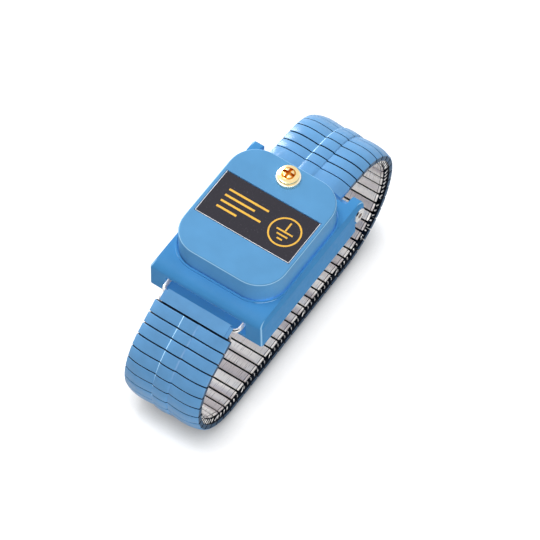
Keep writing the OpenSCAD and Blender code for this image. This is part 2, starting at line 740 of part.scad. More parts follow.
// Staple on both edges of the band, from point a in an outer link to point b in an inner one
module staple_pair(a, b) {
    dir = (b - a) / norm(b - a);
    side = [-dir[1], dir[0]] * staple_t / 2;
    tip = dir * staple_t / 2;
    for (x = [-1, 1]) {
        translate([x > 0 ? bridge_x : -bridge_x - staple_t, case_y, 0]) rotate([90, 0, 90])
            linear_extrude(staple_t)
                polygon([a - tip - side, b + tip - side, b + tip + side, a - tip + side]);
        for (p = [a, b]) {
            translate([x > 0 ? bridge_x - staple_leg : -bridge_x, case_y, 0]) rotate([90, 0, 90])
                linear_extrude(staple_leg)
                    polygon([p - tip - side, p + tip - side, p + tip + side, p - tip + side]);
        }
    }
}

// Arched leaf in an outer link, whose ends lie over the staples' legs
module leaf_spring() {
    half = band_w / 2 - end_step - 1;
    low = leg_v + staple_t * 0.75 + 0.02;
    rise = crown_h * 0.5;
    steps = 6;
    under = [for (i = [-steps:steps]) [i / steps * half, low + rise * (1 - pow(i / steps, 2))]];
    over = [for (i = [-steps:steps]) [-i / steps * half, low + leaf_t + rise * (1 - pow(i / steps, 2))]];
    translate([0, outer_l / 4, 0]) rotate([90, 0, 0]) linear_extrude(outer_l / 2)
        polygon(concat(under, over));
}

module outer_links(k) {
    color(blue) for (i = [first_link(k) : first_link(k + 1) - 1]) at_band(outer_s(i)) outer_link();
}

// The last segment also holds the link that carries the far end link
module inner_links(k) {
    last = first_link(k + 1) - (k == segments - 1 ? 0 : 1);
    color(steel) for (i = [first_link(k) : last]) at_band(inner_s(i)) inner_link();
}

// Staples and leaf springs of one segment; the last staple reaches into the next segment
module link_clips(k) {
    first = first_link(k);
    next = first_link(k + 1);
    far = k == segments - 1;
    color(steel) {
        for (i = [first : next - 1]) {
            staple_pair(link_point(outer_s(i), own_u - pitch / 2, leg_v),
                        link_point(inner_s(i), own_u, -leg_v));
            at_band(outer_s(i)) leaf_spring();
        }
        for (i = [first + 1 : next]) {
            slant = i == next && !far;
            staple_pair(link_point(outer_s(i - 1), back_u + pitch / 2, leg_v),
                        link_point(inner_s(i), slant ? slant_u : back_u, -leg_v));
        }
    }
}

// Staples between the near end link and the first inner link
module near_end_staples() {
    under = tab_drop + sheet_t + staple_t * 0.75;
    a = near_link_end - staple_t * 2.5 * along(near_link_a) - under * outward(near_link_a);
    color(steel) staple_pair(a, link_point(0, slant_u, -leg_v));
}

// Staples between the far end link and the last inner link
module far_end_staples() {
    a = link_point(band_l, far_leg_u, leg_v);
    color(steel) staple_pair(a, link_point(band_l, -slant_u, -leg_v));
}

// Round headed pin through the far lugs
module far_hinge_pin() {
    half = top_w / 2 - 0.3;
    color(steel) in_case() translate([0, far_axis[0], hinge_h]) rotate([0, 90, 0]) {
        translate([0, 0, -half]) cylinder(d = pin_d, h = half + pin_seat_x + eps);
        translate([0, 0, pin_seat_x]) difference() {
            cylinder(d = pin_head_d, h = pin_head_t);
            translate([0, 0, pin_head_t * 0.4]) cylinder(d = pin_d, h = pin_head_t);
        }
    }
}

// Knuckle on the pin, and a plate with the face of an outer link
module far_end_link() {
    knuckle_w = far_recess_w - 2 * lug_gap;
    web = knuckle_d * 0.16;
    web_u = far_end[0] - far_axis[0];
    hollow_x = bridge_x - staple_leg - seat_gap;
    hollow_w = band_w / 2 - sheet_t - hollow_x;
    color(blue) difference() {
        union() {
            at_band(band_l) translate([0, far_plate_l, 0]) rotate([90, 0, 0])
                linear_extrude(far_plate_l - link_gap / 2) link_section();
            across(band_w) polygon([far_axis + [-web, 0], far_axis + [web, 0],
                                    link_point(band_l, web_u - web, link_base + web / 2),
                                    link_point(band_l, web_u + web, link_base + web / 2)]);
            across(knuckle_w) translate(far_axis) circle(d = knuckle_d);
        }
        across(2 * band_w) translate(far_axis) circle(d = pin_d + 2 * turn_gap);
        // Hollows for the staples' legs, open below
        at_band(band_l) for (x = [-1, 1]) {
            translate([x > 0 ? hollow_x : -hollow_x - hollow_w, link_gap / 2 + sheet_t, link_base - 1])
                cube([hollow_w, staple_t * 2.4, 1 + row_t - sheet_t]);
        }
        at_band(band_l) staple_slots(band_w - 2 * sheet_t, link_gap + 2 * sheet_t + staple_t * 2);
    }
}

case_base();
case_cover();
label_plate();
back_plate();
case_screws();
terminal_screw();
terminal_collar();
threaded_bushing();
terminal_tab();
circuit_board();
series_resistors();
contact_spring();
near_wire_bail();
near_end_link();
near_end_staples();
far_hinge_pin();
far_end_link();
far_end_staples();
outer_links(0);  // outer_links_01
outer_links(1);  // outer_links_02
outer_links(2);  // outer_links_03
outer_links(3);  // outer_links_04
outer_links(4);  // outer_links_05
outer_links(5);  // outer_links_06
outer_links(6);  // outer_links_07
outer_links(7);  // outer_links_08
outer_links(8);  // outer_links_09
outer_links(9);  // outer_links_10
outer_links(10);  // outer_links_11
outer_links(11);  // outer_links_12
inner_links(0);  // inner_links_01
inner_links(1);  // inner_links_02
inner_links(2);  // inner_links_03
inner_links(3);  // inner_links_04
inner_links(4);  // inner_links_05
inner_links(5);  // inner_links_06
inner_links(6);  // inner_links_07
inner_links(7);  // inner_links_08
inner_links(8);  // inner_links_09
inner_links(9);  // inner_links_10
inner_links(10);  // inner_links_11
inner_links(11);  // inner_links_12
link_clips(0);  // link_clips_01
link_clips(1);  // link_clips_02
link_clips(2);  // link_clips_03
link_clips(3);  // link_clips_04
link_clips(4);  // link_clips_05
link_clips(5);  // link_clips_06
link_clips(6);  // link_clips_07
link_clips(7);  // link_clips_08
link_clips(8);  // link_clips_09
link_clips(9);  // link_clips_10
link_clips(10);  // link_clips_11
link_clips(11);  // link_clips_12
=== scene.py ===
import json
from math import atan2, cos, pi, radians, sin, tan

import bmesh
import bpy
import numpy as np
from mathutils import Matrix, Vector


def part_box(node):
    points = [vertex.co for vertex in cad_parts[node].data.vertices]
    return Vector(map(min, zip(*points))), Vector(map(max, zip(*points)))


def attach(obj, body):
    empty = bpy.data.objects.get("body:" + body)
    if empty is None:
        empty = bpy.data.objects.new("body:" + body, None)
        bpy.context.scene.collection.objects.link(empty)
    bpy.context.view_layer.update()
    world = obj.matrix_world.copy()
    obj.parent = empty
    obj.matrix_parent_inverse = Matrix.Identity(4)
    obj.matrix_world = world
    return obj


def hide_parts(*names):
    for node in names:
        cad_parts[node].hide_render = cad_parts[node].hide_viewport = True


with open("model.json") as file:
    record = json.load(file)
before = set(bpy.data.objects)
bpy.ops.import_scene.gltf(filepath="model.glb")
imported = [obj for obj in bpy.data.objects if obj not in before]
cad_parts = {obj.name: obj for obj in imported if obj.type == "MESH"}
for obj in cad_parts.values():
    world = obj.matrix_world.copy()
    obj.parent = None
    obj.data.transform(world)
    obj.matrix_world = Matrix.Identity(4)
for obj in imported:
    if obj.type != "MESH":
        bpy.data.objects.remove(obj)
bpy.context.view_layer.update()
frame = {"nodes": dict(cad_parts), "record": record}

MM = 0.001

# Looks, as sRGB colours from 0 to 255
CASE_BLUE = (68, 140, 197)
COVER_BLUE = (92, 153, 202)
# Colour of the painted highlights on the cover's rim, the case's corners and the ridge's flank
PAINTED_HIGHLIGHT_BLUE = (176, 222, 250)
BAND_BLUE = (90, 153, 206)
STEEL = (244, 240, 236)
STEEL_SHADE = (206, 198, 198)
# Colour of the painted shade in the links' gaps, and of the dark line in the wire's painted reflection
DARK_STEEL = (30, 38, 50)
# Darker blue that paints the shade on the outer links' ends
TEAL = (70, 104, 136)
WIRE = (236, 234, 232)
CREAM = (250, 240, 216)
GOLD = (250, 226, 170)
# Brown that paints the shade in the screw's cross
GOLD_BROWN = (206, 130, 40)
# Silver of the painted highlight along the label's edges
SILVER = (226, 228, 234)
# Grey that paints the shade in the hinge pin's hole
PIN_GREY = (150, 134, 124)
LABEL = (44, 42, 50)
LABEL_SPECK = (110, 106, 118)
PRINT_GOLD = (238, 182, 54)
BOARD_GREEN = (38, 110, 62)
RESISTOR_TAN = (206, 180, 134)
FLOOR_WHITE = (203, 203, 202)

# Camera: the fitted view, round the middle of the cover's top
CAMERA_AZIMUTH = radians(34.381)
CAMERA_ELEVATION = radians(57.569)
CAMERA_ROLL = radians(0.048)
CAMERA_DISTANCE = 1011.53 * MM
CAMERA_SHIFT_RIGHT = 3.094 * MM
CAMERA_SHIFT_UP = -13.406 * MM
SENSOR = 36
FOCAL_PX = 4046.1
PICTURE_PX = 540
LENS = FOCAL_PX * SENSOR / PICTURE_PX

# Lights: they look at the middle of the part, from this far
LIGHT_TARGET = (0, 0, 25 * MM)
LIGHT_DISTANCE = 0.9

# Gaps between links, and the height over a link's base at which they are that wide
LINK_GAP = 0.34 * MM
LINK_GAP_LEVEL = -0.15 * MM
INNER_GAP = 0.5 * MM
INNER_GAP_LEVEL = 1.6 * MM

# Outer link: rounded edges, arched panels, the ridge between them, and the base that closes its gaps
FLARE = 0.11 * MM
EDGE_R = 0.14 * MM
PANEL_H = 1.05 * MM
PANEL_DIP = 0.3 * MM
PANEL_TOP_X = 6.4 * MM
PANEL_FALL = 2.3
RIDGE_H = 0.46 * MM
RIDGE_FOOT = 2.4 * MM
RIDGE_SHOULDER = 0.32 * MM
RIDGE_FLANK_SHARE = 0.65
END_REACH = 0.45 * MM

# Sections across an outer link: how many on an end, a panel and half the ridge, and the room beside the ridge
END_SECTIONS = 4
PANEL_SECTIONS = 13
RIDGE_SECTIONS = 8
RIDGE_MARGIN = 0.12 * MM
PANEL_START = 2.2 * EDGE_R

# Inner link: a tube with a folded facet at each end, and a fine line before it
TUBE_R = 0.3 * MM
TUBE_R_LEAST = 0.1 * MM
CORNER_POINTS = 4
END_FACET = 0.46 * MM
END_LINE = 0.14 * MM
END_LINE_DEPTH = 0.04 * MM
END_DEPTH = 0.3 * MM
END_NARROWING = 0.25

# Material of a face on a link's shell: plain face, painted shade, end, and the ridge flank's painted
# highlight
FACE, PAINTED_SHADE, END, FLANK = range(4)

# Angle over which a shell has a hard edge, and over which a CAD edge gets its bevel
SPLIT_ANGLE = radians(33)
BEVEL_ANGLE = radians(35)

# Thickness of the print on the label, and the width of the painted highlight line along its edges
PRINT_T = 0.03 * MM
EDGE_HIGHLIGHT_LINE = 0.13 * MM

# Sign on the label: its place, ring, stem and three bars, in widths from the top
SIGN_X = 8.2 * MM
SIGN_R = 4.4 * MM
SIGN_LINE = 0.45 * MM
STEM_L = 2.8 * MM
STEM_Y = 1.7 * MM
BAR_WIDTHS = (4.8 * MM, 3.2 * MM, 1.6 * MM)
BAR_STEP = 1.2 * MM

# Row of lines on the label: its left end, first line, step and lengths
ROWS_X = -10.5 * MM
ROWS_Y = 2.8 * MM
ROW_STEP = 1.9 * MM
ROW_LINE = 0.6 * MM
ROW_LENGTHS = (12 * MM, 9 * MM, 12 * MM, 6 * MM)

# Floor: its half width, the reach and fall of the close painted shadow, its light level and its glow to the
# camera
FLOOR_HALF = 3.0
SHADOW_REACH = 7 * MM
SHADOW_FALL = 1.1
FLOOR_LEVEL = 0.6
FLOOR_GLOW = 0.53

# How far a face looks up, from 0 where it stands to 1 where it lies flat. The cover's round edge has a
# painted highlight between its two values, and the ridge's flank a painted highlight that grows from the
# first of its values to the second.
RIM_HIGHLIGHT_SLOPES = (0.5, 0.86)
FLANK_HIGHLIGHT_SLOPES = (0.2, 0.5)

# Painted highlight on the case's upright round corners: how much of a face's lean counts, where it starts and
# is full, and how bright
CORNER_LEAN = 0.15
CORNER_TURNS = (0.38, 0.46)
CORNER_HIGHLIGHT = 0.7

# Makes 1 of the distance from the middle of the band to its edge, which is about 11 mm
EDGE_SCALE = 90.0


def linear(rgb):
    """sRGB colour from 0 to 255 as linear RGBA."""
    out = []
    for c in rgb:
        c = c / 255
        out.append(c / 12.92 if c <= 0.04045 else ((c + 0.055) / 1.055) ** 2.4)
    return (*out, 1)


# Materials

def new_material(name, rgb, roughness, metallic=0.0, coat=0.0, specular=0.5):
    """A Principled material; returns it with its node tree, shader and object coordinates."""
    material = bpy.data.materials.new(name)
    material.use_nodes = True
    tree = material.node_tree
    shader = tree.nodes["Principled BSDF"]
    shader.inputs["Base Color"].default_value = linear(rgb)
    shader.inputs["Roughness"].default_value = roughness
    shader.inputs["Metallic"].default_value = metallic
    shader.inputs["Coat Weight"].default_value = coat
    shader.inputs["Specular IOR Level"].default_value = specular
    coords = tree.nodes.new("ShaderNodeTexCoord")
    return material, tree, shader, coords.outputs["Object"]


def noise(tree, vector, scale, detail=3.0, stretch=None):
    """Noise texture on the given coordinates, stretched per axis when asked; scale is in waves per metre."""
    if stretch:
        mapping = tree.nodes.new("ShaderNodeMapping")
        mapping.inputs["Scale"].default_value = stretch
        tree.links.new(vector, mapping.inputs["Vector"])
        vector = mapping.outputs["Vector"]
    node = tree.nodes.new("ShaderNodeTexNoise")
    node.inputs["Scale"].default_value = scale
    node.inputs["Detail"].default_value = detail
    tree.links.new(vector, node.inputs["Vector"])
    return node.outputs["Fac"]


def ramp(tree, fac, stops):
    """Colour ramp with (position, RGBA) stops."""
    node = tree.nodes.new("ShaderNodeValToRGB")
    elements = node.color_ramp.elements
    for i, (position, colour) in enumerate(stops):
        element = elements[i] if i < 2 else elements.new(position)
        element.position = position
        element.color = colour
    tree.links.new(fac, node.inputs["Fac"])
    return node.outputs["Color"]


def bump(tree, shader, height, distance, strength=1.0):
    """Fine relief from a texture."""
    node = tree.nodes.new("ShaderNodeBump")
    node.inputs["Strength"].default_value = strength
    node.inputs["Distance"].default_value = distance
    tree.links.new(height, node.inputs["Height"])
    tree.links.new(node.outputs["Normal"], shader.inputs["Normal"])


def grey(value):
    """Grey of a linear value, as RGBA."""
    return (value, value, value, 1)


def shade(rgb, factor):
    """The colour made lighter or darker, as linear RGBA."""
    r, g, b, a = linear(rgb)
    return (r * factor, g * factor, b * factor, a)


def mix_colour(tree, fac, first, second):
    """Mix of two colour sockets, or of a socket and an RGBA colour."""
    node = tree.nodes.new("ShaderNodeMix")
    node.data_type = "RGBA"
    tree.links.new(fac, node.inputs["Factor"])
    for socket, colour in ((node.inputs[6], first), (node.inputs[7], second)):
        if isinstance(colour, tuple):
            socket.default_value = colour
        else:
            tree.links.new(colour, socket)
    return node.outputs[2]


def math_node(tree, operation, first, second=None):
    """Math node on one or two sockets, or on a socket and a number."""
    node = tree.nodes.new("ShaderNodeMath")
    node.operation = operation
    tree.links.new(first, node.inputs[0])
    if isinstance(second, float):
        node.inputs[1].default_value = second
    elif second is not None:
        tree.links.new(second, node.inputs[1])
    return node.outputs[0]


def parts_of(tree, vector):
    """X, Y and Z of a vector socket."""
    split = tree.nodes.new("ShaderNodeSeparateXYZ")
    tree.links.new(vector, split.inputs[0])
    return split.outputs


def normal_of(tree):
    """Direction in which the surface looks, in the object's own axes."""
    return tree.nodes.new("ShaderNodeTexCoord").outputs["Normal"]


def vary_roughness(tree, shader, fac, low, high):
    """Roughness between two (position, value) pairs of a texture."""
    stops = [(position, grey(value)) for position, value in (low, high)]
    tree.links.new(ramp(tree, fac, stops), shader.inputs["Roughness"])


def slope_band(tree, low, high, plateau=0.04):
    """1 where a face leans between two slopes, such as the round edge of a top face, and 0 elsewhere: the
    mask of a painted highlight.
    """
    middle = (low + high) / 2
    stops = [(low, grey(0)), (middle - plateau, grey(1)), (middle + plateau, grey(1)), (high, grey(0))]
    return ramp(tree, parts_of(tree, normal_of(tree))["Z"], stops)


def corner_highlight_band(tree):
    """Mask of a painted highlight: 1 on the middle of the round corners that stand upright, and 0 elsewhere.
    """
    level = tree.nodes.new("ShaderNodeVectorMath")
    level.operation = "MULTIPLY"
    level.inputs[1].default_value = (1, 1, CORNER_LEAN)
    tree.links.new(normal_of(tree), level.inputs[0])
    unit = tree.nodes.new("ShaderNodeVectorMath")
    unit.operation = "NORMALIZE"
    tree.links.new(level.outputs[0], unit.inputs[0])
    parts = parts_of(tree, unit.outputs[0])
    turn = math_node(tree, "ABSOLUTE", math_node(tree, "MULTIPLY", parts["X"], parts["Y"]))
    start, full = CORNER_TURNS
    return ramp(tree, turn, [(start, grey(0)), (full, grey(CORNER_HIGHLIGHT))])


def plastic(name, rgb, roughness, rim_highlight=None, corner=None):
    """Moulded plastic: a faint mottle, uneven gloss and a very fine texture.

    When asked, a painted highlight lies on its rim or on its upright round corners.
    """
    material, tree, shader, where = new_material(name, rgb, roughness, specular=0.1)
    mottle = noise(tree, where, 160, 2)
    colour = ramp(tree, mottle, [(0.3, shade(rgb, 0.95)), (0.7, shade(rgb, 1.04))])
    if rim_highlight:
        colour = mix_colour(tree, slope_band(tree, *RIM_HIGHLIGHT_SLOPES), colour, linear(rim_highlight))
    if corner:
        colour = mix_colour(tree, corner_highlight_band(tree), colour, linear(corner))
    tree.links.new(colour, shader.inputs["Base Color"])
    gloss = noise(tree, where, 700, 4)
    vary_roughness(tree, shader, gloss, (0.3, roughness - 0.06), (0.7, roughness + 0.08))
    bump(tree, shader, noise(tree, where, 2600, 3), 0.02 * MM, 0.35)
    return material


def paint(name, rgb, roughness, lit=None):
    """Paint on sheet metal: slight orange peel, fine wear marks and, when asked, a painted highlight where it
    looks up.
    """
    material, tree, shader, where = new_material(name, rgb, roughness, coat=0.6, specular=0.3)
    shader.inputs["Coat Roughness"].default_value = 0.27
    mottle = noise(tree, where, 260, 3)
    colour = ramp(tree, mottle, [(0.3, shade(rgb, 0.93)), (0.7, shade(rgb, 1.05))])
    # Painted highlight: paler where the face looks up
    if lit:
        low, high = FLANK_HIGHLIGHT_SLOPES
        upward = ramp(tree, parts_of(tree, normal_of(tree))["Z"], [(low, grey(0)), (high, grey(1))])
        colour = mix_colour(tree, upward, colour, linear(lit))
    tree.links.new(colour, shader.inputs["Base Color"])
    marks = noise(tree, where, 900, 5, (1, 0.25, 0.25))
    vary_roughness(tree, shader, marks, (0.35, roughness - 0.03), (0.7, roughness + 0.05))
    bump(tree, shader, noise(tree, where, 1400, 2), 0.01 * MM, 0.3)
    return material


def brushed(name, rgb, roughness):
    """Steel brushed round the loop: fine lines that run along the band, and a tone that varies by link."""
    material, tree, shader, where = new_material(name, rgb, roughness, metallic=0.45)
    patches = noise(tree, where, 260, 0, (0.05, 1, 1))
    tone = ramp(tree, patches, [(0.4, linear(STEEL_SHADE)), (0.56, linear(rgb))])
    lines = noise(tree, where, 1500, 4, (4, 0.12, 0.12))
    grain = ramp(tree, lines, [(0.3, grey(0.35)), (0.5, grey(0.0))])
    tree.links.new(mix_colour(tree, grain, tone, shade(STEEL_SHADE, 0.8)), shader.inputs["Base Color"])
    vary_roughness(tree, shader, lines, (0.3, roughness - 0.06), (0.7, roughness + 0.12))
    bump(tree, shader, lines, 0.02 * MM, 0.4)
    return material


def polished(name, rgb, roughness):
    """Plated metal with faint handling marks."""
    material, tree, shader, where = new_material(name, rgb, roughness, metallic=1.0)
    marks = noise(tree, where, 900, 5)
    vary_roughness(tree, shader, marks, (0.35, roughness - 0.04), (0.75, roughness + 0.1))
    colour = ramp(tree, marks, [(0.3, shade(rgb, 0.92)), (0.7, shade(rgb, 1.04))])
    tree.links.new(colour, shader.inputs["Base Color"])
    return material


def lit_and_shaded_metal(name, rgb, dark_rgb, roughness):
    """Metal with painted light and shade: bright on the faces that look out of the band's edges, and dark in
    the gaps.
    """
    material, tree, shader, where = new_material(name, rgb, roughness, metallic=0.6)
    across = [parts_of(tree, vector)["X"] for vector in (normal_of(tree), where)]
    outward = math_node(tree, "MULTIPLY", math_node(tree, "MULTIPLY", *across), EDGE_SCALE)
    stops = [(0.3, linear(dark_rgb)), (0.6, linear(rgb))]
    tree.links.new(ramp(tree, outward, stops), shader.inputs["Base Color"])
    return material


def wire_with_painted_reflection(name, rgb, dark_rgb, roughness):
    """Bright plated wire with a painted reflection: the dark line along its middle that a polished round wire
    mirrors.
    """
    material, tree, shader, where = new_material(name, rgb, roughness, metallic=0.6)
    facing = tree.nodes.new("ShaderNodeLayerWeight")
    facing.inputs["Blend"].default_value = 0.5
    stops = [(0.03, linear(dark_rgb)), (0.09, linear(rgb))]
    tree.links.new(ramp(tree, facing.outputs["Facing"], stops), shader.inputs["Base Color"])
    return material


def label_film(name, rgb):
    """Dark printed foil with scattered light specks."""
    material, tree, shader, where = new_material(name, rgb, 0.6, specular=0.15)
    specks = noise(tree, where, 3600, 1)
    colour = ramp(tree, specks, [(0.70, linear(rgb)), (0.80, linear(LABEL_SPECK))])
    tree.links.new(colour, shader.inputs["Base Color"])
    bump(tree, shader, noise(tree, where, 1800, 3), 0.015 * MM, 0.4)
    return material


# Painted highlights: on the case's upright round corners, and on the cover's rim
case_blue = plastic("case_blue", CASE_BLUE, 0.42, corner=PAINTED_HIGHLIGHT_BLUE)
cover_blue = plastic("cover_blue", COVER_BLUE, 0.42, PAINTED_HIGHLIGHT_BLUE)
band_blue = paint("band_blue", BAND_BLUE, 0.36)
# Band paint with a painted highlight, for the left flank of the ridge
ridge_flank_highlight = paint("ridge_flank_highlight", BAND_BLUE, 0.36, lit=PAINTED_HIGHLIGHT_BLUE)
steel = brushed("brushed_steel", STEEL, 0.30)
# Painted shade: dark steel on link sides and bases, and on the inner links' outer faces
painted_shade_steel = polished("painted_shade_steel", DARK_STEEL, 0.35)
# Link clips: painted light on their outer faces, painted shade in the gaps
clip_lit_and_shaded_steel = lit_and_shaded_metal("clip_lit_and_shaded_steel", WIRE, DARK_STEEL, 0.3)
# Bail wire with a painted reflection: dark along its middle
wire_steel = wire_with_painted_reflection("bright_steel", WIRE, DARK_STEEL, 0.2)
# Painted shade: the outer links' end faces
painted_shade_teal = polished("painted_shade_teal", TEAL, 0.4)
cream = polished("cream_metal", CREAM, 0.25)
gold = polished("gold_metal", GOLD, 0.22)
# Painted shade in the screw's cross
screw_recess_shade = polished("screw_recess_shade", GOLD_BROWN, 0.3)
# Painted highlight along the label's edges
label_edge_highlight = polished("label_edge_highlight", SILVER, 0.35)
# Painted shade in the hinge pin's hole
pin_hole_shade = polished("pin_hole_shade", PIN_GREY, 0.4)
print_gold = paint("print_gold", PRINT_GOLD, 0.4)
label_dark = label_film("label_dark", LABEL)
board_green = plastic("board_green", BOARD_GREEN, 0.45)
resistor_tan = plastic("resistor_tan", RESISTOR_TAN, 0.35)

SLOT_MATERIALS = {
    "case_blue": case_blue, "label_dark": label_dark, "gold_metal": gold, "board_green": board_green,
    "resistor_tan": resistor_tan, "band_blue": band_blue, "bright_steel": wire_steel, "brushed_steel": steel,
}
SLOT_OF = {s["node"]: s["material_slot"] for s in frame["record"]["subparts"]}
BODY_OF = {n: b for b, ns in frame["record"]["behaviour"]["bodies"].items() for n in ns}


# CAD nodes that stay: material, a small bevel and smooth shading

def dress_node(name, bevel, material):
    """Material and smooth shading for one CAD node, with a bevel when its width isn't 0."""
    node = frame["nodes"][name]
    node.data.materials.clear()
    node.data.materials.append(material)
    for polygon in node.data.polygons:
        polygon.use_smooth = True
    weld = node.modifiers.new("weld", "WELD")
    weld.merge_threshold = 0.002 * MM
    if bevel:
        edge = node.modifiers.new("bevel", "BEVEL")
        edge.width = bevel
        edge.segments = 2
        edge.limit_method = "ANGLE"
        edge.angle_limit = BEVEL_ANGLE
        edge.harden_normals = False
    normals = node.modifiers.new("normals", "WEIGHTED_NORMAL")
    normals.keep_sharp = True


def colour_faces(name, material, chosen):
    """Gives a second material to the faces of a CAD node whose centre is chosen."""
    mesh = frame["nodes"][name].data
    mesh.materials.append(material)
    for polygon in mesh.polygons:
        if chosen(polygon.center):
            polygon.material_index = len(mesh.materials) - 1


def add_piece(name, verts, faces, materials, body, replaces=(), smooth=True, picks=()):
    """A new mesh that rides on a body and takes the given materials; picks names a material per face."""
    mesh = bpy.data.meshes.new(name)
    mesh.from_pydata([tuple(v) for v in verts], [], faces)
    for material in materials:
        mesh.materials.append(material)
    for polygon in mesh.polygons:
        polygon.use_smooth = smooth
        polygon.material_index = picks[polygon.index] if picks else 0
    piece = bpy.data.objects.new(name, mesh)
    bpy.context.scene.collection.objects.link(piece)
    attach(piece, body)
    if replaces:
        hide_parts(*replaces)
    return piece


# The band's links, read from the frame

def solids_of(name):
    """Vertex coordinates of each separate solid of a CAD node; vertices within a micrometre count as one."""
    mesh = frame["nodes"][name].data
    points = np.array([v.co for v in mesh.vertices])
    keys = {}
    same = [keys.setdefault(tuple(np.round(p * 1e6).astype(int)), i) for i, p in enumerate(points)]
    parent = list(range(len(points)))

    def root(i):
        while parent[i] != i:
            parent[i] = parent[parent[i]]
            i = parent[i]
        return i

    for polygon in mesh.polygons:
        first = root(same[polygon.vertices[0]])
        for v in polygon.vertices[1:]:
            parent[root(same[v])] = first
    groups = {}
    for i in set(same):
        groups.setdefault(root(i), []).append(points[i])
    return [np.array(g) for g in groups.values()]


class Link:
    """Place and size of one link: u runs along the band and n points out of the loop."""

    end_tolerance = 0.01 * MM

    def __init__(self, node, points, centre):
        self.node = node
        self.width = 2 * abs(points[:, 0]).max()
        ends = points[abs(points[:, 0]) > self.width / 2 - self.end_tolerance][:, 1:]
        middle = (ends.min(0) + ends.max(0)) / 2
        _, axes = np.linalg.eigh(np.cov((ends - ends.mean(0)).T))
        out = axes[:, 0]
        if out @ (middle - centre) < 0:
            out = -out
        self.n = out
        self.u = np.array([out[1], -out[0]])
        spread_u = ends @ self.u
        end_n = ends @ self.n
        self.length = spread_u.max() - spread_u.min()
        self.end_height = end_n.max() - end_n.min()
        mid_u = (spread_u.max() + spread_u.min()) / 2
        self.base = mid_u * self.u + end_n.min() * self.n
        self.angle = atan2(middle[0] - centre[0], -(middle[1] - centre[1]))

    def place(self, x, u, n):
        """Point of the frame that lies at (x, u, n) on the link."""
        yz = self.base + u * self.u + n * self.n
        return (x, yz[0], yz[1])


def read_links(prefix):
    """All links of one row, in their order along the band."""
    names = sorted(n for n in frame["nodes"] if n.startswith(prefix))
    raw = [(name, points) for name in names for points in solids_of(name)]
    centre = np.mean([points[:, 1:].mean(0) for _, points in raw], axis=0)
    return sorted((Link(name, points, centre) for name, points in raw), key=lambda link: link.angle)


def side_planes(links, i, level, gap, end_reach):
    """Where the low-u and the high-u side of link i stand, as (offset, slope) in u over n.

    The first link reaches further to the end link at the near end.
    """
    link = links[i]
    planes = []
    for other in links[max(i - 1, 0):i] + links[i + 1:i + 2]:
        here = link.base + level * link.n
        there = other.base + level * other.n
        middle = (here + there) / 2 - link.base
        cross = link.n[0] * other.n[1] - link.n[1] * other.n[0]
        turn = np.arcsin(np.clip(cross, -1, 1)) / 2
        sign = 1 if (there - here) @ link.u > 0 else -1
        slope = tan(abs(turn)) * sign
        offset = middle @ link.u - sign * gap / 2 - slope * (middle @ link.n)
        planes.append((sign, offset, slope))
    if len(planes) == 1:
        sign = -planes[0][0]
        reach = 0.0 if i else end_reach
        planes.append((sign, sign * (link.length / 2 + reach), 0.0))
    planes.sort(key=lambda p: p[0])
    return planes[0][1:], planes[1][1:]


def outer_profile(link, x):
    """Height of an outer link's face at x: an arched panel on each side and the ridge between them."""
    x = abs(x)
    if x > PANEL_TOP_X:
        outward = (x - PANEL_TOP_X) / (link.width / 2 - PANEL_TOP_X)
        return link.end_height + PANEL_H * (1 - outward ** PANEL_FALL)
    if x > RIDGE_FOOT:
        inward = (PANEL_TOP_X - x) / (PANEL_TOP_X - RIDGE_FOOT)
        return link.end_height + PANEL_H - PANEL_DIP * inward ** 2
    foot = link.end_height + PANEL_H - PANEL_DIP
    shoulder = RIDGE_FOOT - RIDGE_SHOULDER
    if x > shoulder:
        return foot + RIDGE_FLANK_SHARE * RIDGE_H * (RIDGE_FOOT - x) / RIDGE_SHOULDER
    return foot + RIDGE_H * (1 - (1 - RIDGE_FLANK_SHARE) * (x / shoulder) ** 2)


def across_samples(link):
    """X places of the sections, closer together at the ends and at the ridge."""
    half = link.width / 2
    ends = [half - EDGE_R * (1 - cos(a)) for a in np.linspace(0, pi / 2, END_SECTIONS)]
    panel = list(np.linspace(half - PANEL_START, RIDGE_FOOT + RIDGE_MARGIN, PANEL_SECTIONS))
    ridge = [RIDGE_FOOT, *np.linspace(RIDGE_FOOT - RIDGE_SHOULDER, 0, RIDGE_SECTIONS)]
    right = ends + panel + ridge
    return [-x for x in right] + right[-2::-1]


